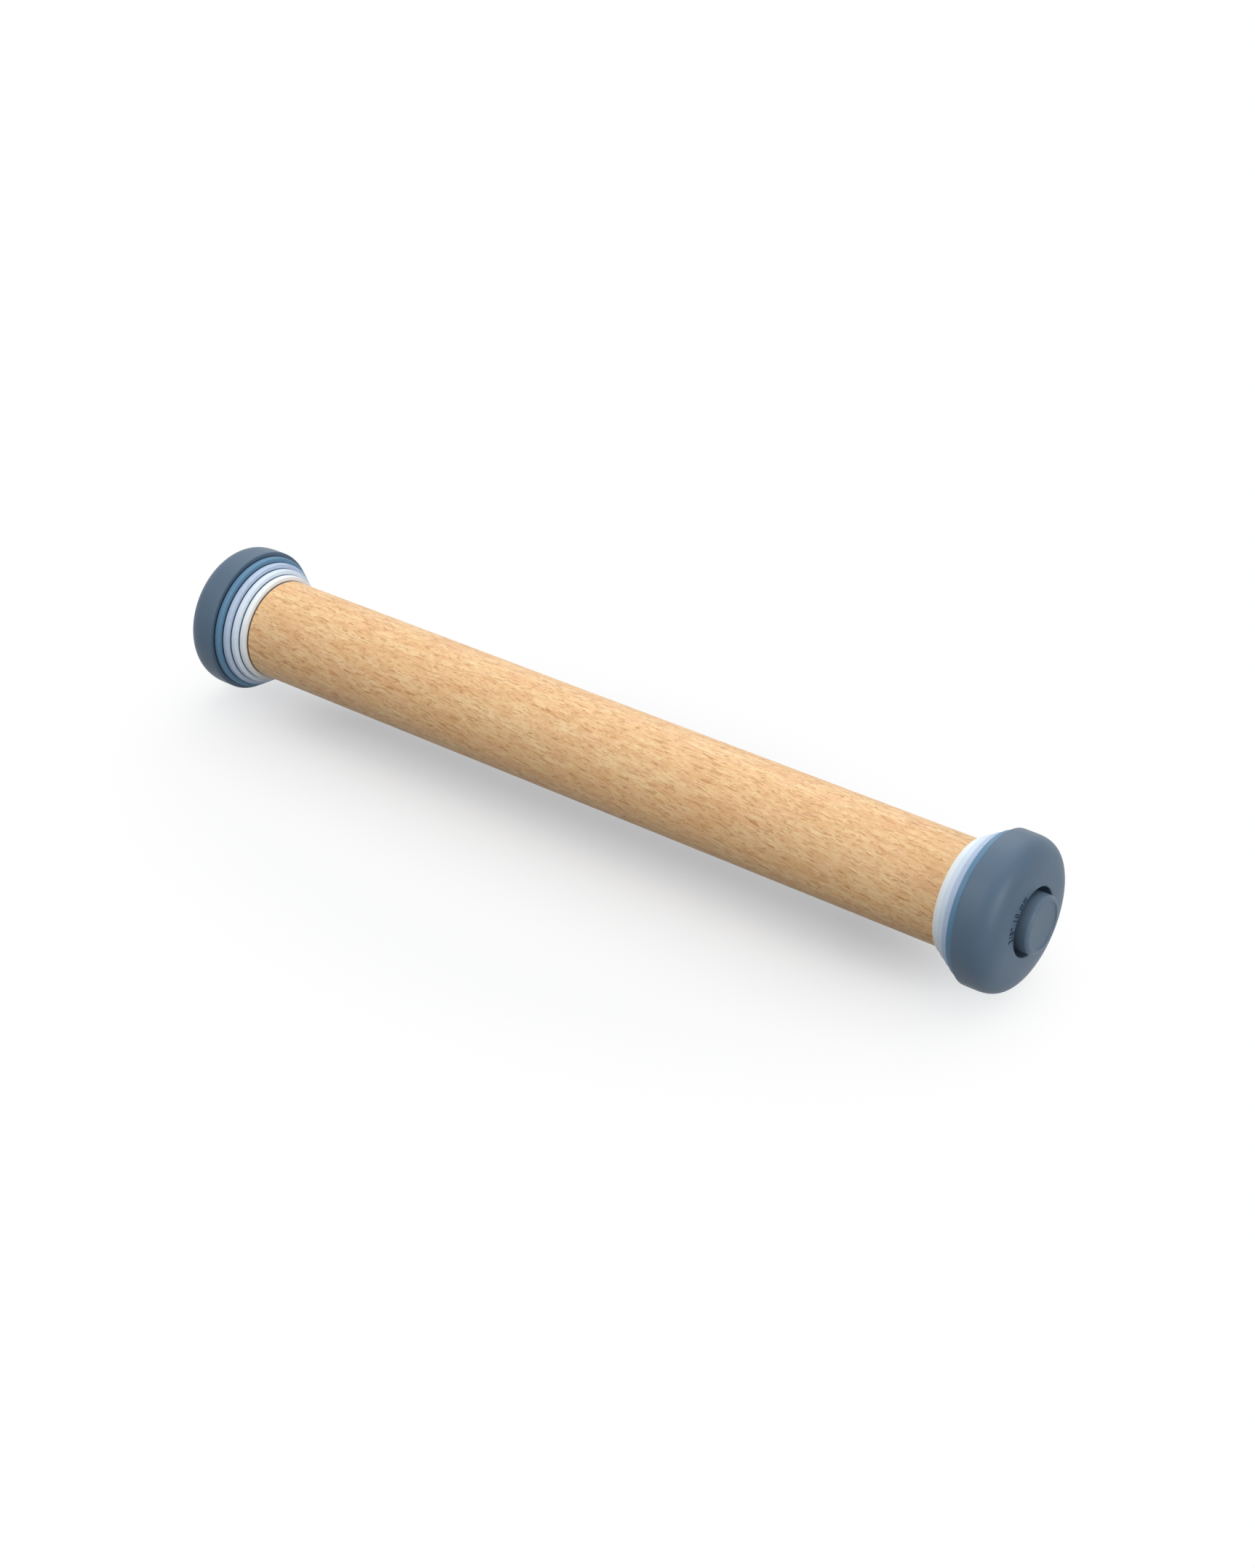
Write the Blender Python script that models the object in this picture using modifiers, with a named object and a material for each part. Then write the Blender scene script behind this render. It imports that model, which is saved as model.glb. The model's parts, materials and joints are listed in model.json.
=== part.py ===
# Adjustable rolling pin: a beech roller with five stepped thickness discs at each end,
# clamped by an end knob whose screw shank goes into a threaded insert in the wood.
# The pin lies along X. Each end is modelled on a local Z axis that points out of the pin,
# with its zero on the end face of the roller, and an empty turns it into place.
import math

import bmesh
import bpy
from mathutils import Matrix

MM = 0.001

# Roller
ROLLER_LENGTH = 362 * MM
ROLLER_DIAMETER = 45 * MM
ROLLER_EDGE = 0.8 * MM

# Thickness discs: how far each one stands above the roller
RAISE_STEP = 2 * MM
RING_COUNT = 4
RING_THICKNESS = 2.9 * MM
RING_EDGE = 0.5 * MM

# Domed end disc, the largest of the five
RIM_WIDTH = 4.5 * MM
DOME_RISE = 13 * MM
DOME_CENTRE_RADIUS = 10 * MM
DOME_FULLNESS = 3.2
WEB_THICKNESS = 7.6 * MM
RECESS_RADIUS = 14.5 * MM
RECESS_EDGE = 0.6 * MM
POCKET_COUNT = 6
POCKET_DEPTH = 4.5 * MM
POCKET_RIB = 2.2 * MM
POCKET_MARGIN = 2 * MM
HUB_WALL = 2.4 * MM

# End knob and its screw
KNOB_RADIUS = 12.2 * MM
KNOB_PROUD = 4.5 * MM
KNOB_EDGE = 1.6 * MM
KNOB_UNDER_EDGE = 0.7 * MM
LIP_WIDTH = 0.6 * MM
DISH_DEPTH = 0.5 * MM
SHANK_RADIUS = 8.5 * MM
SHANK_TIP = 1.2 * MM
THREAD_LEAD = 5 * MM
ENGAGED_TURNS = 5
CORE_RADIUS = 4.6 * MM
CORE_END_WALL = 6 * MM

# Threaded insert
INSERT_WALL = 2.6 * MM
INSERT_FLOOR = 2.2 * MM
FLANGE_WIDTH = 3 * MM
FLANGE_THICKNESS = 2.2 * MM
KEY_COUNT = 4
KEY_HEIGHT = 1.4 * MM
KEY_WIDTH = 2.4 * MM
KEY_SETBACK = 6 * MM

# Clearances
SEAT_GAP = 0.3 * MM
SHANK_CLEARANCE = 0.4 * MM
TIP_CLEARANCE = 1.5 * MM
OVERRUN = 1 * MM

# Facets
ROUND_STEPS = 44
EDGE_STEPS = 2
KNOB_EDGE_STEPS = 4
DOME_STEPS = 8
DOME_SPACING = 0.8

# Sizes that follow from the ones above
ROLLER_RADIUS = ROLLER_DIAMETER / 2
DISC_BORE = SHANK_RADIUS + SHANK_CLEARANCE
RING_PITCH = RING_THICKNESS + SEAT_GAP
END_DISC_RADIUS = ROLLER_RADIUS + (RING_COUNT + 1) * RAISE_STEP
END_DISC_BASE = SEAT_GAP + RING_COUNT * RING_PITCH
KNOB_SEAT = END_DISC_BASE + WEB_THICKNESS + SEAT_GAP
SHANK_LENGTH = KNOB_SEAT + THREAD_LEAD * ENGAGED_TURNS
INSERT_DEPTH = SHANK_LENGTH + TIP_CLEARANCE
BARREL_RADIUS = DISC_BORE + INSERT_WALL
FLANGE_RADIUS = BARREL_RADIUS + FLANGE_WIDTH
ROLLER_TURN = (0, math.radians(90), 0)

# Finishes: sRGB colour and roughness
FINISHES = {
    "beech": ((223, 182, 136), 0.55),
    "white": ((240, 245, 250), 0.42),
    "pale_blue": ((210, 227, 246), 0.42),
    "lavender": ((176, 191, 219), 0.42),
    "mid_blue": ((92, 138, 174), 0.45),
    "slate": ((90, 106, 124), 0.45),
    "insert_grey": ((150, 158, 166), 0.5),
}
RING_COLOURS = ("white", "pale_blue", "lavender", "mid_blue")


def clear_scene():
    for obj in list(bpy.data.objects):
        bpy.data.objects.remove(obj)


def make_collection(name):
    collection = bpy.data.collections.new(name)
    bpy.context.scene.collection.children.link(collection)
    return collection


def linear(value):
    value /= 255
    return value / 12.92 if value <= 0.04045 else ((value + 0.055) / 1.055) ** 2.4


def make_material(name, colour, roughness):
    material = bpy.data.materials.new(name)
    material.use_nodes = True
    shader = material.node_tree.nodes["Principled BSDF"]
    shader.inputs["Base Color"].default_value = (*map(linear, colour), 1)
    shader.inputs["Roughness"].default_value = roughness
    shader.inputs["Metallic"].default_value = 0
    material.diffuse_color = shader.inputs["Base Color"].default_value
    return material


def arc(centre, radius, start, end, steps=EDGE_STEPS):
    """Points on a circle in the profile's plane, angles in degrees from +X towards +Z."""
    points = []
    for step in range(steps + 1):
        angle = math.radians(start + (end - start) * step / steps)
        points.append((centre[0] + radius * math.cos(angle), centre[1] + radius * math.sin(angle)))
    return points


def outer_corners(radius, top, bottom, edge):
    """The two rounded outer corners of a turned piece, from its top to its bottom."""
    upper = arc((radius - edge, top - edge), edge, 90, 0)
    lower = arc((radius - edge, bottom + edge), edge, 0, -90)
    return upper + lower


def turned(name, profile, closed, collection, material=None):
    """A solid of revolution about local Z. Half a facet of turn puts a flat at the bottom."""
    mesh = bpy.data.meshes.new(name)
    shape = bmesh.new()
    verts = [shape.verts.new((radius, 0, height)) for radius, height in profile]
    for first, second in zip(verts, verts[1:]):
        shape.edges.new((first, second))
    if closed:
        shape.edges.new((verts[-1], verts[0]))
    bmesh.ops.rotate(shape, verts=verts, matrix=Matrix.Rotation(math.pi / ROUND_STEPS, 3, "Z"))
    shape.to_mesh(mesh)
    shape.free()
    obj = bpy.data.objects.new(name, mesh)
    collection.objects.link(obj)
    screw = obj.modifiers.new("turn", "SCREW")
    screw.steps = ROUND_STEPS
    screw.render_steps = ROUND_STEPS
    screw.use_merge_vertices = True
    screw.merge_threshold = 0.00001
    screw.use_smooth_shade = True
    if material:
        mesh.materials.append(material)
    return obj


def box_on_axis(name, size, centre, turn, collection):
    """A box that is turned about local Z, for keys, their slots and ribs."""
    mesh = bpy.data.meshes.new(name)
    shape = bmesh.new()
    bmesh.ops.create_cube(shape, size=1)
    bmesh.ops.scale(shape, verts=shape.verts, vec=size)
    bmesh.ops.translate(shape, verts=shape.verts, vec=centre)
    bmesh.ops.rotate(shape, verts=shape.verts, matrix=Matrix.Rotation(turn, 3, "Z"))
    shape.to_mesh(mesh)
    shape.free()
    obj = bpy.data.objects.new(name, mesh)
    collection.objects.link(obj)
    return obj


def as_cutter(obj):
    obj.hide_render = True
    obj.display_type = "WIRE"
    return obj


def boolean(obj, operation, other):
    change = obj.modifiers.new(other.name, "BOOLEAN")
    change.operation = operation
    change.solver = "EXACT"
    change.object = other


def key_boxes(name, clearance, cutters):
    """The insert's keys, or with a clearance the slots that they sit in."""
    inner = BARREL_RADIUS - OVERRUN
    outer = BARREL_RADIUS + KEY_HEIGHT + clearance
    top = -FLANGE_THICKNESS + OVERRUN / 2
    bottom = -(INSERT_DEPTH - KEY_SETBACK + clearance)
    size = (outer - inner, KEY_WIDTH + 2 * clearance, top - bottom)
    centre = ((outer + inner) / 2, 0, (top + bottom) / 2)
    boxes = []
    for number in range(KEY_COUNT):
        turn = 2 * math.pi * number / KEY_COUNT
        boxes.append(as_cutter(box_on_axis(f"{name}_{number + 1}", size, centre, turn, cutters)))
    return boxes


def roller(parts, material):
    half = ROLLER_LENGTH / 2
    hole = half - INSERT_DEPTH - INSERT_FLOOR - SEAT_GAP
    bore = BARREL_RADIUS + SEAT_GAP
    seat = half - FLANGE_THICKNESS - SEAT_GAP
    mouth = FLANGE_RADIUS + SEAT_GAP
    end = [(0, hole), (bore, hole), (bore, seat), (mouth, seat), (mouth, half)]
    other_end = [(radius, -height) for radius, height in reversed(end)]
    profile = end + outer_corners(ROLLER_RADIUS, half, -half, ROLLER_EDGE) + other_end
    obj = turned("roller", profile, False, parts, material)
    obj.rotation_euler = ROLLER_TURN
    return obj


def ring_disc(name, number, parts, material):
    """One flat thickness disc. Number 0 is the smallest and lies against the roller."""
    radius = ROLLER_RADIUS + (number + 1) * RAISE_STEP
    rim = outer_corners(radius, RING_THICKNESS, 0, RING_EDGE)
    profile = [(DISC_BORE, RING_THICKNESS)] + rim + [(DISC_BORE, 0)]
    obj = turned(name, profile, True, parts, material)
    obj.location.z = SEAT_GAP + number * RING_PITCH
    return obj


def dome_height(radius):
    """Height of the dome's outer face above the disc's inner face, a full superellipse."""
    share = (radius - DOME_CENTRE_RADIUS) / (END_DISC_RADIUS - DOME_CENTRE_RADIUS)
    return RIM_WIDTH + DOME_RISE * (1 - share**DOME_FULLNESS) ** (1 / DOME_FULLNESS)


def dome_points():
    """The dome from the recess edge to the rim, closer together where it bends most."""
    inner = RECESS_RADIUS + RECESS_EDGE
    span = END_DISC_RADIUS - inner
    points = []
    for step in range(DOME_STEPS + 1):
        angle = math.pi / 2 * step / DOME_STEPS
        radius = inner + span * math.sin(angle) ** DOME_SPACING
        points.append((radius, dome_height(min(radius, END_DISC_RADIUS))))
    return points


def end_disc(name, parts, cutters, material):
    """The domed disc: a recess for the knob in front, cored pockets between ribs behind."""
    lip = dome_height(RECESS_RADIUS + RECESS_EDGE)
    recess = [(DISC_BORE, WEB_THICKNESS), (RECESS_RADIUS, WEB_THICKNESS), (RECESS_RADIUS, lip - RECESS_EDGE)]
    base = arc((END_DISC_RADIUS - RING_EDGE, RING_EDGE), RING_EDGE, 0, -90)
    profile = recess + dome_points() + base + [(DISC_BORE, 0)]
    obj = turned(name, profile, True, parts, material)
    obj.location.z = END_DISC_BASE
    pockets = pocket_cutter(f"{name}_pockets", cutters)
    pockets.parent = obj
    boolean(obj, "DIFFERENCE", pockets)
    return obj


def pocket_cutter(name, cutters):
    """A ring under the web, split by ribs. It stays behind the roller's end face."""
    inner = DISC_BORE + HUB_WALL
    outer = ROLLER_RADIUS - POCKET_MARGIN
    profile = [(inner, POCKET_DEPTH), (outer, POCKET_DEPTH), (outer, -OVERRUN), (inner, -OVERRUN)]
    ring = as_cutter(turned(name, profile, True, cutters))
    reach = outer + OVERRUN
    top = POCKET_DEPTH + OVERRUN
    bottom = -2 * OVERRUN
    size = (reach, POCKET_RIB, top - bottom)
    centre = (reach / 2, 0, (top + bottom) / 2)
    for number in range(POCKET_COUNT):
        turn = 2 * math.pi * number / POCKET_COUNT
        rib = as_cutter(box_on_axis(f"{name}_rib_{number + 1}", size, centre, turn, cutters))
        rib.parent = ring
        boolean(ring, "DIFFERENCE", rib)
    return ring


def end_knob(name, parts, material):
    """Knob and screw in one moulding: a dished face with a lip, a plain head, a cored shank."""
    face = END_DISC_BASE + dome_height(RECESS_RADIUS + RECESS_EDGE) + KNOB_PROUD
    lip_inner = KNOB_RADIUS - KNOB_EDGE - LIP_WIDTH
    dish = [(0, face - DISH_DEPTH), (lip_inner - DISH_DEPTH, face - DISH_DEPTH), (lip_inner, face)]
    head = arc((KNOB_RADIUS - KNOB_EDGE, face - KNOB_EDGE), KNOB_EDGE, 90, 0, KNOB_EDGE_STEPS)
    under = [(KNOB_RADIUS, KNOB_SEAT + KNOB_UNDER_EDGE), (KNOB_RADIUS - KNOB_UNDER_EDGE, KNOB_SEAT)]
    tip = KNOB_SEAT - SHANK_LENGTH
    shank = [(SHANK_RADIUS, KNOB_SEAT), (SHANK_RADIUS, tip + SHANK_TIP), (SHANK_RADIUS - SHANK_TIP, tip)]
    core = [(CORE_RADIUS, tip), (CORE_RADIUS, face - CORE_END_WALL), (0, face - CORE_END_WALL)]
    return turned(name, dish + head + under + shank + core, False, parts, material)


def threaded_insert(name, parts, cutters, material):
    """A closed sleeve with a flange, keyed into the wood."""
    bore = DISC_BORE
    floor = -INSERT_DEPTH
    inside = [(0, floor), (bore, floor), (bore, 0)]
    flange = [(FLANGE_RADIUS, 0), (FLANGE_RADIUS, -FLANGE_THICKNESS), (BARREL_RADIUS, -FLANGE_THICKNESS)]
    outside = [(BARREL_RADIUS, floor - INSERT_FLOOR), (0, floor - INSERT_FLOOR)]
    obj = turned(name, inside + flange + outside, False, parts, material)
    for key in key_boxes(f"{name}_key", 0, cutters):
        key.parent = obj
        boolean(obj, "UNION", key)
    return obj


def build_end(side, turn, roller_object, parts, cutters, materials):
    """Everything at one end of the pin, under an empty on the roller's end face."""
    frame = bpy.data.objects.new(f"{side}_end", None)
    parts.objects.link(frame)
    frame.rotation_euler = (0, turn, 0)
    frame.location.x = math.copysign(ROLLER_LENGTH / 2, turn)
    pieces = [threaded_insert(f"threaded_insert_{side}", parts, cutters, materials["insert_grey"])]
    for number, colour in enumerate(RING_COLOURS):
        millimetres = round((number + 1) * RAISE_STEP / MM)
        pieces.append(ring_disc(f"disc_{millimetres}mm_{side}", number, parts, materials[colour]))
    millimetres = round((RING_COUNT + 1) * RAISE_STEP / MM)
    pieces.append(end_disc(f"disc_{millimetres}mm_{side}", parts, cutters, materials["slate"]))
    pieces.append(end_knob(f"end_knob_{side}", parts, materials["slate"]))
    slots = key_boxes(f"{side}_key_slot", SEAT_GAP, cutters)
    for piece in pieces + slots:
        piece.parent = frame
    for slot in slots:
        boolean(roller_object, "DIFFERENCE", slot)


def main():
    clear_scene()
    parts = make_collection("adjustable_rolling_pin")
    cutters = make_collection("cutters")
    materials = {name: make_material(name, *finish) for name, finish in FINISHES.items()}
    pin = roller(parts, materials["beech"])
    build_end("right", math.radians(90), pin, parts, cutters, materials)
    build_end("left", math.radians(-90), pin, parts, cutters, materials)


main()
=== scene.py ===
import json
import math

import bmesh
import bpy
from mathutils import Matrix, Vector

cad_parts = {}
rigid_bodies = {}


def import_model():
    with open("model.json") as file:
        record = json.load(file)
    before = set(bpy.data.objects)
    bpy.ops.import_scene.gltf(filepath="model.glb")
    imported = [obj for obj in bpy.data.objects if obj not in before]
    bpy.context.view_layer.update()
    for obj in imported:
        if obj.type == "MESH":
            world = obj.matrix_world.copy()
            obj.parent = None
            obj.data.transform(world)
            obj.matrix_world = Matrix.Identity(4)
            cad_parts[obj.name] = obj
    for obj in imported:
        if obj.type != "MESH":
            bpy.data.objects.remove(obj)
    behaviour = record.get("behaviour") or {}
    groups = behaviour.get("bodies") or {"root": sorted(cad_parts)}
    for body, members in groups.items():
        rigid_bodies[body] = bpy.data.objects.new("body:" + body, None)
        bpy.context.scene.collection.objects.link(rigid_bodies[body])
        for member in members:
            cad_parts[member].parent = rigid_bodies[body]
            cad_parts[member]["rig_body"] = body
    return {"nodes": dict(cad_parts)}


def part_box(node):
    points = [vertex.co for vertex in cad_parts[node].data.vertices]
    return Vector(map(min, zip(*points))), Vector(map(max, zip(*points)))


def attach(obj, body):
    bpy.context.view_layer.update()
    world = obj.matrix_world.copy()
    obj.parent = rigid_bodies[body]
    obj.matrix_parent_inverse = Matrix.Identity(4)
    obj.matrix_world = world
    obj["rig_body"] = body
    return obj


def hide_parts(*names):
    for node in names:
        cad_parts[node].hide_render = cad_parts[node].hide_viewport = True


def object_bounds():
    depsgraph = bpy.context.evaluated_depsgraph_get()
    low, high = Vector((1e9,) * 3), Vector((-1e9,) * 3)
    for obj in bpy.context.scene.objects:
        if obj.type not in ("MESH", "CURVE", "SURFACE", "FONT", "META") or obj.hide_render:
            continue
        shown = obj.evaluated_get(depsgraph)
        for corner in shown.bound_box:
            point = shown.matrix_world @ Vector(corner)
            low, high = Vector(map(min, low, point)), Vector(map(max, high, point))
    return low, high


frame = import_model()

mm = 0.001
around = 240  # segments round every turned piece
roundingSteps = 6  # segments on a rounded corner
mergeDistance = 0.002 * mm
smoothAngle = math.radians(32)

cadLow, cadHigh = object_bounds()
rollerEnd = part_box("roller")[1].x  # the roller's right end face
rollerRadius = 22.5 * mm
print("frame loaded:", len(frame["nodes"]), "nodes, roller ends at", round(rollerEnd, 4))


# Ways of working that every piece shares

def selectOnly(piece):
    bpy.ops.object.select_all(action="DESELECT")
    piece.select_set(True)
    bpy.context.view_layer.objects.active = piece


def selectPoints(piece, wanted):  # in edit mode: only the points where wanted(place) is true
    bpy.ops.mesh.select_all(action="DESELECT")
    shape = bmesh.from_edit_mesh(piece.data)
    for point in shape.verts:
        point.select = wanted(point.co)
    shape.select_flush_mode()
    bmesh.update_edit_mesh(piece.data)


def tidyMesh():  # in edit mode: one closed skin that faces out
    bpy.ops.mesh.select_all(action="SELECT")
    bpy.ops.mesh.remove_doubles(threshold=mergeDistance)
    bpy.ops.mesh.normals_make_consistent(inside=False)


def smoothPiece(piece):
    selectOnly(piece)
    bpy.ops.object.shade_smooth_by_angle(angle=smoothAngle)


def applyModifier(piece, modifier):
    selectOnly(piece)
    bpy.ops.object.modifier_apply(modifier=modifier.name)


def combine(piece, operation, tool):  # UNION, DIFFERENCE or INTERSECT with a tool that is then removed
    change = piece.modifiers.new("combine", "BOOLEAN")
    change.operation = operation
    change.object = tool
    change.material_mode = "TRANSFER"
    applyModifier(piece, change)
    bpy.data.objects.remove(tool)


def startPiece(name):  # an empty mesh in edit mode, with one point at the origin
    bpy.ops.object.select_all(action="DESELECT")
    bpy.ops.mesh.primitive_plane_add(size=mm)
    piece = bpy.context.object
    piece.name = name
    piece.data.name = name
    bpy.ops.object.mode_set(mode="EDIT")
    bpy.ops.mesh.merge(type="CENTER")
    return piece


def drawOutline(piece, outline, closed):  # outline: (x, radius, rounding) for each corner
    def near(corner):
        return lambda place: abs(place.x - corner[0]) + abs(place.z - corner[1]) < mergeDistance

    bpy.ops.transform.translate(value=(outline[0][0], 0, outline[0][1]))
    for here, there in zip(outline, outline[1:]):
        step = (there[0] - here[0], 0, there[1] - here[1])
        bpy.ops.mesh.extrude_region_move(TRANSFORM_OT_translate={"value": step})
    if closed:
        first, last = near(outline[0]), near(outline[-1])
        selectPoints(piece, lambda place: first(place) or last(place))
        bpy.ops.mesh.edge_face_add()
    for corner in outline:
        if corner[2]:
            selectPoints(piece, near(corner))
            bpy.ops.mesh.bevel(offset=corner[2], segments=roundingSteps, affect="VERTICES")


def turnPiece(name, outline, closed=False):  # the outline spun round the pin's axis
    piece = startPiece(name)
    drawOutline(piece, outline, closed)
    bpy.ops.mesh.select_all(action="SELECT")
    bpy.ops.mesh.spin(steps=around, angle=2 * math.pi, center=(0, 0, 0), axis=(1, 0, 0))
    tidyMesh()
    bpy.ops.object.mode_set(mode="OBJECT")
    smoothPiece(piece)
    return piece


def turnHalfRound(piece, name):  # the same piece at the pin's left end, with its own mesh
    selectOnly(piece)
    bpy.ops.object.duplicate(linked=False)
    other = bpy.context.object
    other.name = name
    other.data.name = name
    bpy.ops.transform.rotate(value=math.pi, orient_axis="Z", center_override=(0, 0, 0))
    bpy.ops.object.transform_apply(location=True, rotation=True, scale=True)
    return other


def barsRoundAxis(name, count, size, centre):  # boxes set round the axis, centre is (x, distance from the axis)
    bpy.ops.object.select_all(action="DESELECT")
    for number in range(count):
        turn = 2 * math.pi * number / count
        place = (centre[0], -centre[1] * math.sin(turn), centre[1] * math.cos(turn))
        bpy.ops.mesh.primitive_cube_add(size=1, location=place, rotation=(turn, 0, 0), scale=size)
        bpy.context.object.name = f"{name}_{number + 1}"
        bpy.ops.object.transform_apply(location=True, rotation=True, scale=True)
    bars = [bpy.data.objects[f"{name}_{number + 1}"] for number in range(count)]
    selectOnly(bars[0])
    for bar in bars:
        bar.select_set(True)
    bpy.ops.object.join()
    return bars[0]


# The screw thread that the knobs and the inserts share

screwThread = {
    "lead": 5 * mm,
    "root": 7.2 * mm,
    "crest": 8.5 * mm,
    "crestWidth": 1.6 * mm,
    "baseWidth": 2.7 * mm,
    "rounding": 0.22 * mm,
    "steps": 120,
}


def threadRod(name, start, end, clearance=0):  # a threaded rod along the axis, grown all over by the clearance
    lead = screwThread["lead"]
    root = screwThread["root"] + clearance
    crest = screwThread["crest"] + clearance
    halfBase = screwThread["baseWidth"] / 2 + clearance
    halfCrest = screwThread["crestWidth"] / 2 + clearance
    firstTurn = math.floor(start / lead) - 1  # whole turns from x = 0, so every rod has the same phase
    left = firstTurn * lead
    middle = left + lead / 2
    rounding = screwThread["rounding"]
    outline = [
        (left, root, 0),
        (middle - halfBase, root, rounding),
        (middle - halfCrest, crest, rounding),
        (middle + halfCrest, crest, rounding),
        (middle + halfBase, root, rounding),
        (left + lead, root, 0),
    ]
    rod = startPiece(name)
    drawOutline(rod, outline, False)
    bpy.ops.object.mode_set(mode="OBJECT")
    helix = rod.modifiers.new("helix", "SCREW")
    helix.axis = "X"
    helix.screw_offset = lead
    helix.iterations = math.ceil(end / lead) + 1 - firstTurn
    helix.steps = screwThread["steps"]
    helix.render_steps = screwThread["steps"]
    helix.use_merge_vertices = True
    helix.merge_threshold = mergeDistance
    applyModifier(rod, helix)
    bpy.ops.object.mode_set(mode="EDIT")
    bpy.ops.mesh.select_all(action="SELECT")
    bpy.ops.mesh.remove_doubles(threshold=mergeDistance)
    bpy.ops.mesh.bisect(plane_co=(start, 0, 0), plane_no=(1, 0, 0), use_fill=True, clear_inner=True)
    bpy.ops.mesh.select_all(action="SELECT")
    bpy.ops.mesh.bisect(plane_co=(end, 0, 0), plane_no=(1, 0, 0), use_fill=True, clear_outer=True)
    tidyMesh()
    bpy.ops.object.mode_set(mode="OBJECT")
    return rod


# Finishes

def fromPhoto(red, green, blue):  # an sRGB colour as Blender's linear one
    def linear(value):
        value /= 255
        return value / 12.92 if value <= 0.04045 else ((value + 0.055) / 1.055) ** 2.4

    return (linear(red), linear(green), linear(blue), 1)


def newFinish(name):
    finish = bpy.data.materials.new(name)
    finish.use_nodes = True
    return finish, finish.node_tree.nodes["Principled BSDF"]


def addNode(finish, kind, inputs=(), **settings):  # inputs: a value, or an output to link
    node = finish.node_tree.nodes.new("ShaderNode" + kind)
    for name, value in settings.items():
        setattr(node, name, value)
    for socket, value in dict(inputs).items():
        if isinstance(value, bpy.types.NodeSocket):
            finish.node_tree.links.new(value, node.inputs[socket])
        else:
            node.inputs[socket].default_value = value
    return node


def feed(finish, output, shader, socket):
    finish.node_tree.links.new(output, shader.inputs[socket])


def placeOnPiece(finish, size, turn=(0, 0, 0), shift=(0, 0, 0)):  # object coordinates counted in steps of that size
    place = addNode(finish, "TexCoord").outputs["Object"]
    scale = [1 / step for step in size]
    turned = addNode(finish, "Mapping", {"Vector": place, "Rotation": turn, "Location": shift})
    return addNode(finish, "Mapping", {"Vector": turned.outputs["Vector"], "Scale": scale}).outputs["Vector"]


def cylinderPlace(finish):  # distance from the pin's axis, and distance along it from the middle
    place = addNode(finish, "TexCoord").outputs["Object"]
    flat = addNode(finish, "VectorMath", {0: place, 1: (0, 1, 1)}, operation="MULTIPLY").outputs["Vector"]
    across = addNode(finish, "VectorMath", {0: flat}, operation="LENGTH").outputs["Value"]
    lengthways = addNode(finish, "SeparateXYZ", {"Vector": place}).outputs["X"]
    return across, calculate(finish, "ABSOLUTE", lengthways, 0)


def noise(finish, vector, detail=2, roughness=0.5, distortion=0):
    inputs = {"Vector": vector, "Scale": 1, "Detail": detail, "Roughness": roughness, "Distortion": distortion}
    return addNode(finish, "TexNoise", inputs).outputs["Fac"]


def ramp(finish, value, low, high, toLow=0, toHigh=1):  # a soft step between two values
    inputs = {"Value": value, "From Min": low, "From Max": high, "To Min": toLow, "To Max": toHigh}
    return addNode(finish, "MapRange", inputs, interpolation_type="SMOOTHSTEP").outputs["Result"]


def mixColour(finish, amount, first, second, blend="MIX"):
    node = addNode(finish, "Mix", data_type="RGBA", blend_type=blend)
    for socket, value in ((0, amount), (6, first), (7, second)):
        if isinstance(value, bpy.types.NodeSocket):
            finish.node_tree.links.new(value, node.inputs[socket])
        else:
            node.inputs[socket].default_value = value
    return node.outputs[2]


def calculate(finish, operation, first, second):
    return addNode(finish, "Math", {0: first, 1: second}, operation=operation).outputs["Value"]


beech = {
    "pale": fromPhoto(252, 221, 171),
    "golden": fromPhoto(249, 209, 155),
    "pink": fromPhoto(242, 194, 150),
    "deep": fromPhoto(228, 175, 120),
    "fleck": fromPhoto(184, 120, 69),
    "boardTurn": (math.radians(-38), math.radians(-5), math.radians(5)),
    "pith": (0, 22 * mm, -58 * mm),  # the tree's middle, off to one side of the roller
    "ringWidth": 3.4 * mm,
    "streak": (120 * mm, 4.5 * mm, 4.5 * mm),
    "cloud": (14 * mm, 5 * mm, 5 * mm),
    "mottle": (5 * mm, 1.8 * mm, 1.8 * mm),
    "fleckSize": (4.6 * mm, 0.75 * mm, 1.1 * mm),
    "darkFleck": (6 * mm, 0.95 * mm, 1.3 * mm),
    "fibre": (14 * mm, 0.4 * mm, 0.4 * mm),
    "pore": (1.1 * mm, 0.2 * mm, 0.2 * mm),
}


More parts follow.
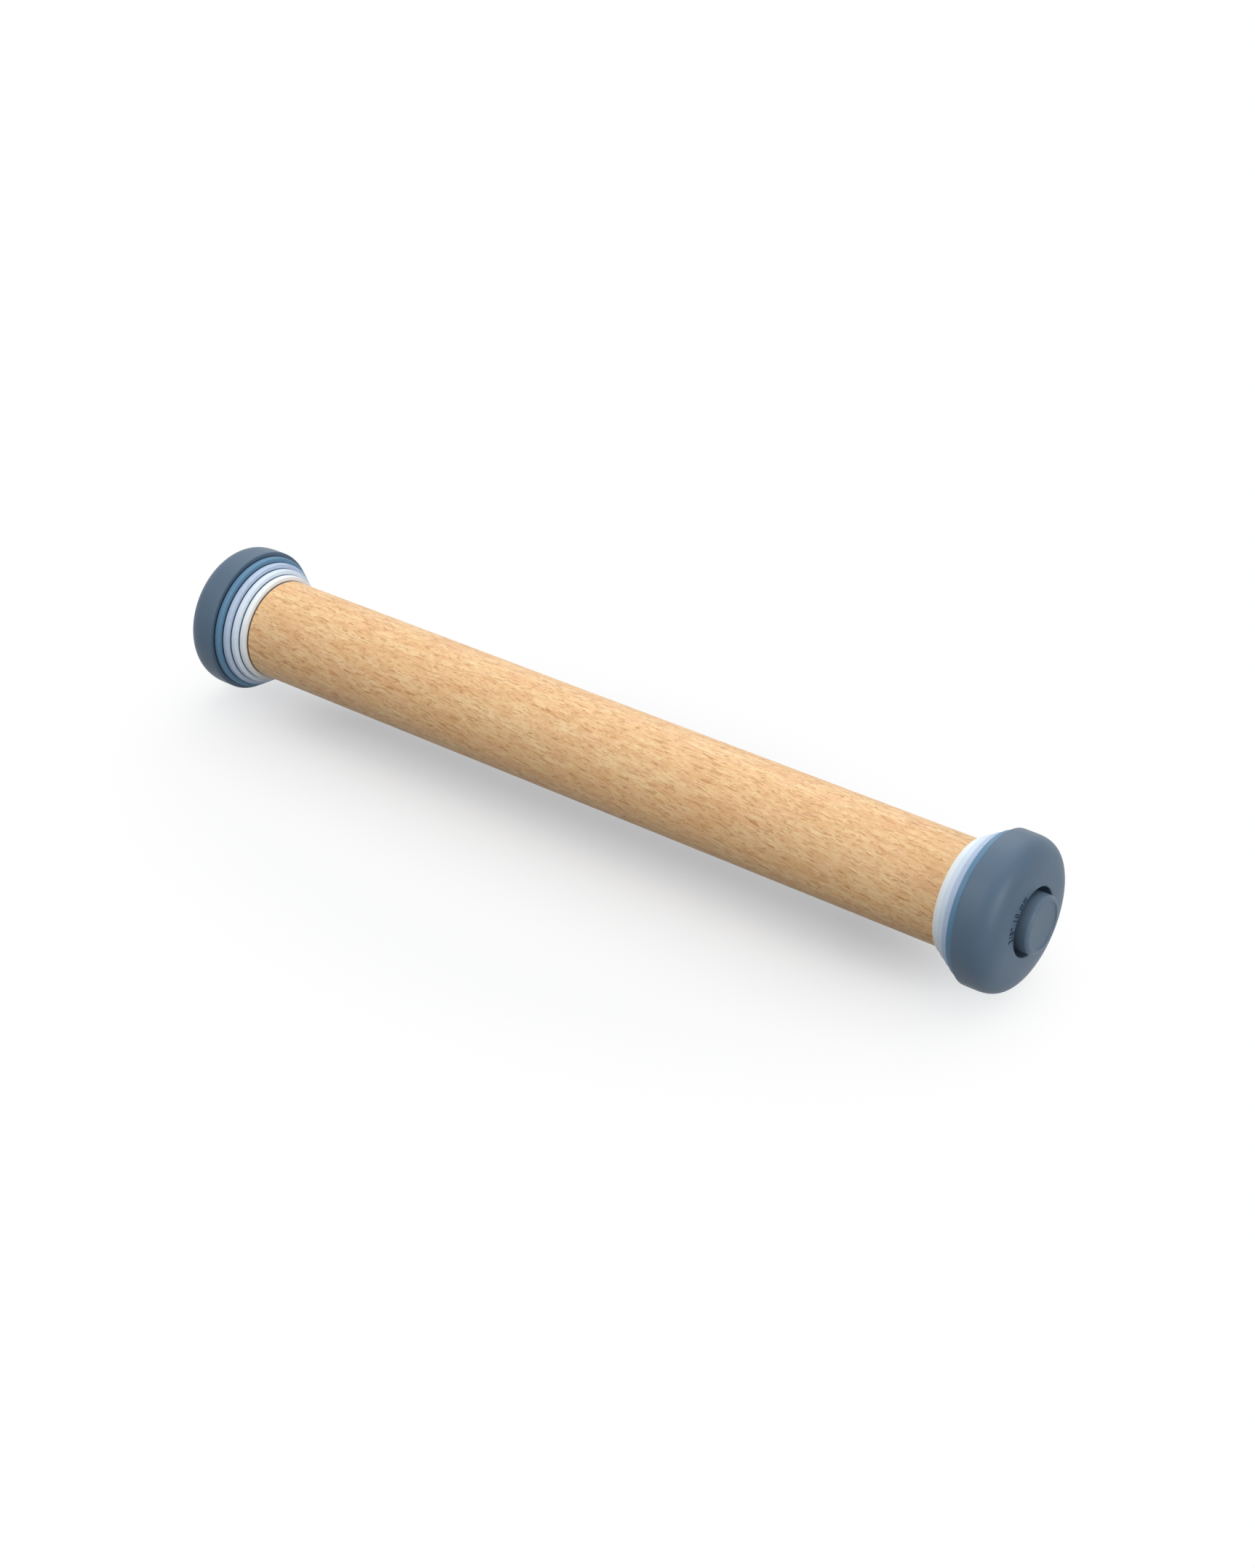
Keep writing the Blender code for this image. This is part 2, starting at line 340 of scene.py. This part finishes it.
def beechFinish():
    finish, shader = newFinish("beechOiled")

    def along(size, shift=0):
        return placeOnPiece(finish, size, beech["boardTurn"], (shift, shift, shift))

    pith = addNode(
        finish,
        "Mapping",
        {"Vector": placeOnPiece(finish, (1, 1, 1), beech["boardTurn"]), "Location": beech["pith"]},
    ).outputs["Vector"]
    wave = {
        "Vector": pith,
        "Scale": 2 * math.pi / 20 / beech["ringWidth"],
        "Distortion": 2.2,
        "Detail": 2,
        "Detail Scale": 0.35,
    }
    looks = {"wave_type": "RINGS", "rings_direction": "X", "wave_profile": "SAW"}
    rings = addNode(finish, "TexWave", wave, **looks).outputs["Fac"]
    streak = noise(finish, along(beech["streak"]), 3, 0.6)
    cloud = noise(finish, along(beech["cloud"]), 2, 0.6, 0.4)
    blush = noise(finish, along(beech["cloud"], 0.3), 2, 0.55)
    mottle = noise(finish, along(beech["mottle"], 0.5), 2, 0.6, 0.5)
    flecks = noise(finish, along(beech["fleckSize"]), 2, 0.5, 0.8)
    darkFlecks = noise(finish, along(beech["darkFleck"], 0.7), 1, 0.4, 0.6)
    fibre = noise(finish, along(beech["fibre"]), 3, 0.65)
    pore = noise(finish, along(beech["pore"]), 2, 0.6)

    tone = mixColour(finish, ramp(finish, streak, 0.3, 0.7), beech["golden"], beech["pale"])
    tone = mixColour(finish, ramp(finish, blush, 0.45, 0.7, 0, 0.6), tone, beech["pink"])
    tone = mixColour(finish, ramp(finish, cloud, 0.45, 0.75, 0, 0.45), tone, beech["deep"])
    tone = mixColour(finish, ramp(finish, mottle, 0.4, 0.7, 0, 0.5), tone, beech["deep"])
    tone = mixColour(finish, ramp(finish, rings, 0.5, 1, 0, 0.4), tone, beech["deep"])
    tone = mixColour(finish, ramp(finish, fibre, 0.48, 0.7, 0, 0.5), tone, beech["deep"])
    tone = mixColour(finish, ramp(finish, pore, 0.45, 0.8, 0, 0.3), tone, beech["fleck"])
    spindle = ramp(finish, flecks, 0.52, 0.66, 0, 0.48)
    dark = ramp(finish, darkFlecks, 0.63, 0.74, 0, 0.7)
    tone = mixColour(finish, calculate(finish, "MAXIMUM", spindle, dark), tone, beech["fleck"])
    feed(finish, tone, shader, "Base Color")

    feed(finish, ramp(finish, fibre, 0.3, 0.7, 0.44, 0.58), shader, "Roughness")
    shader.inputs["Specular IOR Level"].default_value = 0.28
    shader.inputs["Coat Weight"].default_value = 0.16  # the oil
    shader.inputs["Coat Roughness"].default_value = 0.4
    height = calculate(finish, "SUBTRACT", ramp(finish, fibre, 0.3, 0.7, 0, 0.4), spindle)
    height = calculate(finish, "SUBTRACT", height, ramp(finish, pore, 0.5, 0.8, 0, 0.5))
    bump = addNode(finish, "Bump", {"Strength": 0.5, "Distance": 0.05 * mm, "Height": height})
    feed(finish, bump.outputs["Normal"], shader, "Normal")
    return finish


plastics = {  # colour, roughness, and for a disc how many mm it stands above the roller
    "white": (fromPhoto(243, 250, 255), 0.4, 2),
    "paleBlue": (fromPhoto(223, 238, 254), 0.4, 4),
    "lavender": (fromPhoto(188, 206, 231), 0.4, 6),
    "midBlue": (fromPhoto(97, 139, 171), 0.4, 8),
    "slate": (fromPhoto(84, 106, 127), 0.44, 10),
    "knob": (fromPhoto(90, 110, 129), 0.44, 0),
    "insert": (fromPhoto(150, 158, 166), 0.48, 0),
}
# painted shade: the colour of the dark crevice lines between the discs
creviceShadeTone = fromPhoto(62, 74, 90)


def shaded(colour, amount):
    return (*[min(1, value * amount) for value in colour[:3]], 1)


def plasticFinish(name):
    colour, roughness, raised = plastics[name]
    finish, shader = newFinish(name + "Plastic")
    shader.inputs["Specular IOR Level"].default_value = 0.32
    cloud = noise(finish, placeOnPiece(finish, (16 * mm,) * 3), 3, 0.6)
    grain = noise(finish, placeOnPiece(finish, (0.35 * mm,) * 3), 2)
    dimple = noise(finish, placeOnPiece(finish, (1.6 * mm,) * 3), 2)
    worn = addNode(finish, "Attribute", attribute_name="edgeWear").outputs["Fac"]
    scuff = calculate(finish, "MULTIPLY", worn, ramp(finish, dimple, 0.4, 0.7, 0.2, 0.7))

    tone = mixColour(finish, ramp(finish, cloud, 0.3, 0.7), shaded(colour, 0.965), shaded(colour, 1.03))
    tone = mixColour(finish, ramp(finish, grain, 0.35, 0.65, 0, 0.25), tone, shaded(colour, 0.93))
    tone = mixColour(finish, calculate(finish, "MULTIPLY", scuff, 0.5), tone, shaded(colour, 1.35))
    if raised:  # painted shade: a fine dark line on each disc's face where the smaller neighbour's edge rests, standing in for the shadow in the crevice between the discs
        radius = rollerRadius + (raised - 2) * mm
        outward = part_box(f"disc_{raised}mm_right")[0].x
        across, along = cylinderPlace(finish)
        line = ramp(finish, across, radius - 0.9 * mm, radius - 0.5 * mm)
        line = calculate(finish, "MULTIPLY", line, ramp(finish, across, radius + 0.3 * mm, radius))
        inFront = ramp(finish, along, outward + 0.3 * mm, outward + 0.1 * mm)
        line = calculate(finish, "MULTIPLY", line, inFront)
        # painted shade: darkens the crevice line towards the shade colour
        tone = mixColour(finish, calculate(finish, "MULTIPLY", line, 0.8), tone, creviceShadeTone)
    feed(finish, tone, shader, "Base Color")
    feed(finish, ramp(finish, cloud, 0.3, 0.7, roughness - 0.04, roughness + 0.05), shader, "Roughness")
    height = calculate(finish, "ADD", calculate(finish, "MULTIPLY", grain, 0.35), dimple)
    bump = addNode(finish, "Bump", {"Strength": 0.35, "Distance": 0.02 * mm, "Height": height})
    feed(finish, bump.outputs["Normal"], shader, "Normal")
    return finish


def inkFinish():  # the dark floor of the engraved size mark
    finish, shader = newFinish("markInk")
    cloud = noise(finish, placeOnPiece(finish, (0.8 * mm,) * 3), 2)
    tone = mixColour(finish, cloud, fromPhoto(36, 52, 70), fromPhoto(48, 65, 84))
    feed(finish, tone, shader, "Base Color")
    shader.inputs["Specular IOR Level"].default_value = 0.15
    feed(finish, ramp(finish, cloud, 0.3, 0.7, 0.55, 0.65), shader, "Roughness")
    return finish


finishes = {name: plasticFinish(name) for name in plastics}
finishes["beech"] = beechFinish()
finishes["ink"] = inkFinish()
print("finishes made:", len(finishes))


def markEdges(piece):  # the edgeWear attribute: 1 along rounded outer edges, 0 on open surfaces
    shape = bmesh.new()
    shape.from_mesh(piece.data)
    shape.normal_update()
    wear = []
    for point in shape.verts:
        turns = [edge.calc_face_angle_signed(0) for edge in point.link_edges if len(edge.link_faces) == 2]
        sharpest = math.degrees(max(turns, default=0))
        wear.append(min(1, max(0, (sharpest - 6) / 8)))
    shape.free()
    attribute = piece.data.attributes.new("edgeWear", "FLOAT", "POINT")
    attribute.data.foreach_set("value", wear)


def placePiece(piece, finish, node):  # dressed, on its body, in place of its CAD node
    piece.data.materials.clear()
    piece.data.materials.append(finishes[finish])
    finishPiece(piece, node)


def finishPiece(piece, node):
    markEdges(piece)
    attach(piece, frame["nodes"][node]["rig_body"])
    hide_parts(node)


# Roller

roller = {
    "edge": 0.9 * mm,
    "bore": 11.8 * mm,
    "mouth": 14.8 * mm,
    "mouthDepth": 2.5 * mm,
    "boreDepth": 50 * mm,
    "mouthEdge": 0.3 * mm,
    "slotClearance": 0.3 * mm,
}

insert = {
    "barrel": 11.5 * mm,
    "flange": 14.5 * mm,
    "flangeDepth": 2.2 * mm,
    "depth": 49.7 * mm,
    "boreDepth": 47.5 * mm,
    "rounding": 0.3 * mm,
    "leadIn": 0.8 * mm,
    "leadInLap": 0.2 * mm,  # how far the cone's small end stays inside the thread
    "threadClearance": 0.3 * mm,
    "keys": 4,
    "keyHeight": 1.4 * mm,
    "keyWidth": 2.4 * mm,
    "keyLength": 38.5 * mm,
}


def insertKeys(name, clearance):  # the bars that stop the insert turning in the wood, or their slots
    inner = insert["barrel"] - mm
    outer = insert["barrel"] + insert["keyHeight"] + clearance
    size = (insert["keyLength"] + clearance, insert["keyWidth"] + 2 * clearance, outer - inner)
    middle = rollerEnd - insert["flangeDepth"] + mm / 2 - size[0] / 2
    return barsRoundAxis(name, insert["keys"], size, (middle, (inner + outer) / 2))


def makeRoller():
    half = rollerEnd
    outline = [
        (half - roller["boreDepth"], 0, 0),
        (half - roller["boreDepth"], roller["bore"], 0),
        (half - roller["mouthDepth"], roller["bore"], roller["mouthEdge"]),
        (half - roller["mouthDepth"], roller["mouth"], 0),
        (half, roller["mouth"], roller["mouthEdge"]),
        (half, rollerRadius, roller["edge"]),
    ]
    outline += [(-x, radius, rounding) for x, radius, rounding in reversed(outline)]
    piece = turnPiece("beech_roller", outline)
    slots = insertKeys("key_slots", roller["slotClearance"])
    otherSlots = turnHalfRound(slots, "other_key_slots")
    combine(piece, "DIFFERENCE", slots)
    combine(piece, "DIFFERENCE", otherSlots)
    smoothPiece(piece)
    placePiece(piece, "beech", "roller")


makeRoller()
print("roller made")


# Threaded inserts

def makeInserts():
    out = rollerEnd
    back = out - insert["depth"]
    floor = out - insert["boreDepth"]
    seat = out - insert["flangeDepth"]
    rounding = insert["rounding"]
    outline = [
        (out, 0, 0),
        (out, insert["flange"], rounding),
        (seat, insert["flange"], rounding),
        (seat, insert["barrel"], rounding),
        (back, insert["barrel"], 2 * rounding),
        (back, 0, 0),
    ]
    piece = turnPiece("insert_right", outline)
    combine(piece, "UNION", insertKeys("keys", 0))
    combine(piece, "DIFFERENCE", threadRod("tap", floor, out + mm, insert["threadClearance"]))
    tapped = screwThread["crest"] + insert["threadClearance"]
    countersink = [
        (out + mm, 0, 0),
        (out + mm, tapped + insert["leadIn"] + mm, 0),
        (out - insert["leadIn"], tapped - insert["leadInLap"], 0),
        (out - insert["leadIn"], 0, 0),
    ]
    combine(piece, "DIFFERENCE", turnPiece("countersink", countersink))
    smoothPiece(piece)
    other = turnHalfRound(piece, "insert_left")
    placePiece(piece, "insert", "threaded_insert_right")
    placePiece(other, "insert", "threaded_insert_left")


makeInserts()
print("inserts made")


# Thickness discs

discs = {
    "bore": 8.9 * mm,
    "rim": 0.55 * mm,  # rounding of the outer edge
    "boreEdge": 0.3 * mm,
    "groove": (0.3 * mm, 0.7 * mm),  # width and depth of the rebate behind the rim
    2: ("white", "white_plastic"),
    4: ("paleBlue", "pale_blue_plastic"),
    6: ("lavender", "lavender_plastic"),
    8: ("midBlue", "mid_blue_plastic"),
}


def makeDisc(raised):  # one flat disc at each end, named for how many mm it stands above the roller
    finish, slot = discs[raised]
    node = f"disc_{raised}mm_right"
    low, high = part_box(node)
    radius = rollerRadius + raised * mm
    width, depth = discs["groove"]
    outline = [
        (low.x, discs["bore"], discs["boreEdge"]),
        (low.x, radius, discs["rim"]),
        (high.x - width, radius, discs["rim"] / 2),
        (high.x - width, radius - depth, 0),
        (high.x, radius - depth, 0),
        (high.x, discs["bore"], discs["boreEdge"]),
    ]
    piece = turnPiece(f"{raised}mm_disc_right", outline, closed=True)
    other = turnHalfRound(piece, f"{raised}mm_disc_left")
    placePiece(piece, finish, node)
    placePiece(other, finish, f"disc_{raised}mm_left")


for raised in (2, 4, 6, 8):
    makeDisc(raised)
print("flat discs made")


# Domed end discs

dome = {
    "bore": 8.9 * mm,
    "boreEdge": 0.3 * mm,
    "backEdge": 0.55 * mm,
    "rim": 4.5 * mm,
    "rise": 13 * mm,
    "centre": 10 * mm,  # where the dome's curve starts, measured from the axis
    "fullness": 3.2,
    "recess": 14.5 * mm,
    "recessEdge": 0.6 * mm,
    "recessFloorEdge": 0.7 * mm,
    "web": 7.6 * mm,
    "pockets": 6,
    "pocketInner": 11.3 * mm,
    "pocketOuter": 20.5 * mm,
    "pocketDepth": 4.5 * mm,
    "pocketEdge": 0.6 * mm,
    "pocketRib": 2.2 * mm,
    "ribStart": 4 * mm,  # from the axis, inside the pockets
    "steps": 44,
}
domeLow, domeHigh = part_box("disc_10mm_right")
domeRadius = domeHigh.z


def domeHeight(radius):  # above the disc's inner face
    share = min(1, (radius - dome["centre"]) / (domeRadius - dome["centre"]))
    return dome["rim"] + dome["rise"] * (1 - share ** dome["fullness"]) ** (1 / dome["fullness"])


def domeCurve():  # from the recess to the rim, evenly round the curve
    power = 2 / dome["fullness"]
    span = domeRadius - dome["centre"]
    first = math.asin(((dome["recess"] - dome["centre"]) / span) ** (1 / power))
    points = []
    for step in range(dome["steps"] + 1):
        angle = first + (math.pi / 2 - first) * step / dome["steps"]
        radius = dome["centre"] + span * math.sin(angle) ** power
        height = dome["rim"] + dome["rise"] * max(0, math.cos(angle)) ** power
        points.append((domeLow.x + height, radius, dome["recessEdge"] if step == 0 else 0))
    return points


def pocketTool():  # the six cored pockets behind the dome
    low = domeLow.x - mm
    high = domeLow.x + dome["pocketDepth"]
    outline = [
        (low, dome["pocketInner"], 0),
        (low, dome["pocketOuter"], 0),
        (high, dome["pocketOuter"], dome["pocketEdge"]),
        (high, dome["pocketInner"], dome["pocketEdge"]),
    ]
    ring = turnPiece("pockets", outline, closed=True)
    reach = dome["pocketOuter"] + mm
    size = (dome["pocketDepth"] + 4 * mm, dome["pocketRib"], reach)
    centre = ((low + high) / 2, reach / 2 + dome["ribStart"])
    ribs = barsRoundAxis("pocket_ribs", dome["pockets"], size, centre)
    combine(ring, "DIFFERENCE", ribs)
    return ring


sizeMark = {
    "words": '3/8" 10 mm',
    "height": 4.2 * mm,
    "radius": 15.4 * mm,
    "span": math.radians(66),
    "middle": math.radians(149),  # from +Y towards +Z, seen from outside
    "bold": 0.14 * mm,
    "spacing": 1.25,
    "curveSteps": 3,
    "depth": 0.22 * mm,
    "thickness": 1.0 * mm,  # half of the letters' own
}


def markTool():  # the raised letters that engrave the disc, bent round the axis
    bpy.ops.object.select_all(action="DESELECT")
    bpy.ops.object.text_add()
    letters = bpy.context.object
    letters.name = "size_mark"
    letters.data.body = sizeMark["words"]
    letters.data.size = sizeMark["height"]
    letters.data.align_x = "CENTER"
    letters.data.extrude = sizeMark["thickness"]
    letters.data.offset = sizeMark["bold"]
    letters.data.space_character = sizeMark["spacing"]
    letters.data.resolution_u = sizeMark["curveSteps"]
    bpy.ops.object.convert(target="MESH")
    letters = bpy.context.object
    bpy.ops.object.mode_set(mode="EDIT")
    tidyMesh()
    bpy.ops.object.mode_set(mode="OBJECT")
    floor = domeLow.x + domeHeight(sizeMark["radius"] + 1.2 * mm) - sizeMark["depth"]
    across = [point.co.x for point in letters.data.vertices]
    turn = sizeMark["span"] / (max(across) - min(across))
    for point in letters.data.vertices:
        angle = sizeMark["middle"] - (point.co.x - (max(across) + min(across)) / 2) * turn
        radius = sizeMark["radius"] + point.co.y
        height = floor + point.co.z + sizeMark["thickness"]
        point.co = (height, radius * math.cos(angle), radius * math.sin(angle))
    letters.data.materials.append(finishes["ink"])
    return letters


def makeDomes():
    curve = domeCurve()
    web = domeLow.x + dome["web"]
    outline = [
        (domeLow.x, dome["bore"], dome["boreEdge"]),
        (web, dome["bore"], dome["boreEdge"]),
        (web, dome["recess"], dome["recessFloorEdge"]),
        *curve,
        (domeLow.x, domeRadius, dome["backEdge"]),
    ]
    piece = turnPiece("domed_disc_right", outline, closed=True)
    piece.data.materials.append(finishes["slate"])
    combine(piece, "DIFFERENCE", pocketTool())
    combine(piece, "DIFFERENCE", markTool())
    smoothPiece(piece)
    other = turnHalfRound(piece, "domed_disc_left")
    finishPiece(piece, "disc_10mm_right")
    finishPiece(other, "disc_10mm_left")


makeDomes()
print("domed discs made")


# End knobs

knob = {
    "radius": 12.2 * mm,
    "edge": 1.6 * mm,
    "underEdge": 0.7 * mm,
    "lip": 0.6 * mm,
    "dish": 0.5 * mm,
    "dishEdge": 0.3 * mm,
    "lipEdge": 0.15 * mm,
    "seat": 21.0 * mm,  # underside of the head, out from the roller's end
    "core": 4.6 * mm,
    "coreWall": 6 * mm,
    "coreEdge": 0.8 * mm,
    "screwLap": 0.6 * mm,  # how far the screw reaches into the head
    "tip": 1.2 * mm,
}


def makeKnobs():
    low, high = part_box("end_knob_right")
    face = high.x
    seat = rollerEnd + knob["seat"]
    lipInner = knob["radius"] - knob["edge"] - knob["lip"]
    outline = [
        (face - knob["dish"], 0, 0),
        (face - knob["dish"], lipInner - knob["dish"], knob["dishEdge"]),
        (face, lipInner, knob["lipEdge"]),
        (face, knob["radius"], knob["edge"]),
        (seat, knob["radius"], knob["underEdge"]),
        (seat, 0, 0),
    ]
    piece = turnPiece("knob_right", outline)
    rod = threadRod("knob_screw", low.x, seat + knob["screwLap"])
    envelope = [
        (low.x - mm, 0, 0),
        (low.x - mm, screwThread["crest"] - knob["tip"] - mm, 0),
        (low.x + knob["tip"], screwThread["crest"] + 0.1 * mm, 0),
        (seat + mm, screwThread["crest"] + 0.1 * mm, 0),
        (seat + mm, 0, 0),
    ]
    combine(rod, "INTERSECT", turnPiece("screw_envelope", envelope))
    combine(piece, "UNION", rod)
    core = [
        (low.x - mm, 0, 0),
        (low.x - mm, knob["core"], 0),
        (face - knob["coreWall"], knob["core"], knob["coreEdge"]),
        (face - knob["coreWall"], 0, 0),
    ]
    combine(piece, "DIFFERENCE", turnPiece("screw_core", core))
    smoothPiece(piece)
    other = turnHalfRound(piece, "knob_left")
    placePiece(piece, "knob", "end_knob_right")
    placePiece(other, "knob", "end_knob_left")


makeKnobs()
print("knobs made")


# Floor, light and camera

stage = {
    "floorSize": 8,
    "floorTone": 0.15,  # for the light that the floor throws back at the pin
    "shadowShare": (0.672, 0.66, 0.645, 1),  # how much of the floor's white a shadow can take away
    "floorGlow": (0.26, 0.28, 0.303, 1),  # the rest of the white, against the wood's warm reflection
    "shadowReach": (0.085, 0.155),  # from here on the floor fades to plain white
    "shadowCentre": (0, 0.03, 0),  # towards the back, where no shadow falls
    "shadowStretch": (0.62, 1, 1),
    "worldLevel": 0.37,
}


def makeFloor():
    bpy.ops.object.select_all(action="DESELECT")
    bpy.ops.mesh.primitive_plane_add(size=stage["floorSize"], location=(0, 0, cadLow.z))
    floor = bpy.context.object
    floor.name = "studio_floor"
    finish, shader = newFinish("floorPaper")
    nodes, links = finish.node_tree.nodes, finish.node_tree.links
    shader.inputs["Base Color"].default_value = (stage["floorTone"],) * 3 + (1,)
    shader.inputs["Roughness"].default_value = 0.9
    shader.inputs["Specular IOR Level"].default_value = 0.1
    rays = addNode(finish, "LightPath").outputs
    seen = calculate(finish, "MAXIMUM", rays["Is Camera Ray"], rays["Is Glossy Ray"])
    seen = calculate(finish, "MAXIMUM", seen, rays["Is Transmission Ray"])
    shadowed = addNode(finish, "BsdfDiffuse", {"Color": stage["shadowShare"]}).outputs["BSDF"]
    glow = addNode(finish, "Emission", {"Color": stage["floorGlow"], "Strength": 1}).outputs["Emission"]
    near = addNode(finish, "AddShader", {0: shadowed, 1: glow}).outputs["Shader"]
    white = addNode(finish, "Emission", {"Strength": 1}).outputs["Emission"]
    place = addNode(finish, "TexCoord").outputs["Object"]
    place = addNode(finish, "VectorMath", {0: place, 1: stage["shadowCentre"]}).outputs["Vector"]
    drawnIn = {0: place, 1: stage["shadowStretch"]}
    away = addNode(finish, "VectorMath", drawnIn, operation="MULTIPLY").outputs["Vector"]
    away = addNode(finish, "VectorMath", {0: away}, operation="LENGTH").outputs["Value"]
    fade = ramp(finish, away, *stage["shadowReach"])
    shown = addNode(finish, "MixShader", {0: fade, 1: near, 2: white}).outputs["Shader"]
    under = addNode(finish, "BsdfTransparent").outputs["BSDF"]
    side = addNode(finish, "NewGeometry").outputs["Backfacing"]
    lit = addNode(finish, "MixShader", {0: seen, 1: shader.outputs["BSDF"], 2: shown}).outputs["Shader"]
    whole = addNode(finish, "MixShader", {0: side, 1: lit, 2: under}).outputs["Shader"]
    links.new(whole, nodes["Material Output"].inputs["Surface"])
    floor.data.materials.append(finish)


def makeWorld():
    world = bpy.data.worlds.new("studio")
    bpy.context.scene.world = world
    world.use_nodes = True
    nodes, links = world.node_tree.nodes, world.node_tree.links
    path = nodes.new("ShaderNodeLightPath").outputs
    level = nodes.new("ShaderNodeMapRange")
    level.inputs["From Min"].default_value = 0
    level.inputs["From Max"].default_value = 1
    level.inputs["To Min"].default_value = 1
    level.inputs["To Max"].default_value = stage["worldLevel"]
    links.new(path["Is Diffuse Ray"], level.inputs["Value"])
    links.new(level.outputs["Result"], nodes["Background"].inputs["Strength"])
    nodes["Background"].inputs["Color"].default_value = (1, 1, 1, 1)


lamps = {  # place, aim, size, power
    "skylight": ((-0.25, 0.6, 1.6), (0, 0, 0), 2.4, 16.9),
    "backWindow": ((-0.6, 1.2, 0.9), (0, 0, 0), 0.9, 2.7),
    "sideWindow": ((1.7, -0.3, 0.45), (0.15, 0, 0), 0.9, 11.6),
    "frontFill": ((-0.5, -1.4, 0.95), (0, 0, 0), 1.2, 4.3),
    "frontWindow": ((-0.6, -1, 1.5), (0, 0, 0), 1.2, 6),
}


def makeLamps():
    for name, (place, aim, size, power) in lamps.items():
        bpy.ops.object.light_add(type="AREA", location=place)
        lamp = bpy.context.object
        lamp.name = name
        lamp.data.shape = "DISK"
        lamp.data.size = size
        lamp.data.energy = power
        away = lamp.location.copy()
        away.x -= aim[0]
        away.y -= aim[1]
        away.z -= aim[2]
        lamp.rotation_euler = away.to_track_quat("Z", "Y").to_euler()


camera = {
    "place": (0.63076, -0.80480, 0.60369),
    "tilt": math.radians(90 - 31.2199),
    "heading": math.radians(127.3569 - 90),
    "focalPixels": 3876.01,
    "imageHeight": 2156,
    "sensor": 36,
}


def makeCamera():
    bpy.ops.object.camera_add(location=camera["place"], rotation=(camera["tilt"], 0, camera["heading"]))
    view = bpy.context.object
    view.name = "photoCamera"
    view.data.sensor_width = camera["sensor"]
    view.data.lens = camera["focalPixels"] / camera["imageHeight"] * camera["sensor"]
    view.data.clip_start = 0.05
    view.data.clip_end = 50
    bpy.context.scene.camera = view


makeFloor()
makeWorld()
makeLamps()
makeCamera()
bpy.context.scene.view_settings.view_transform = "Standard"
print("stage made")
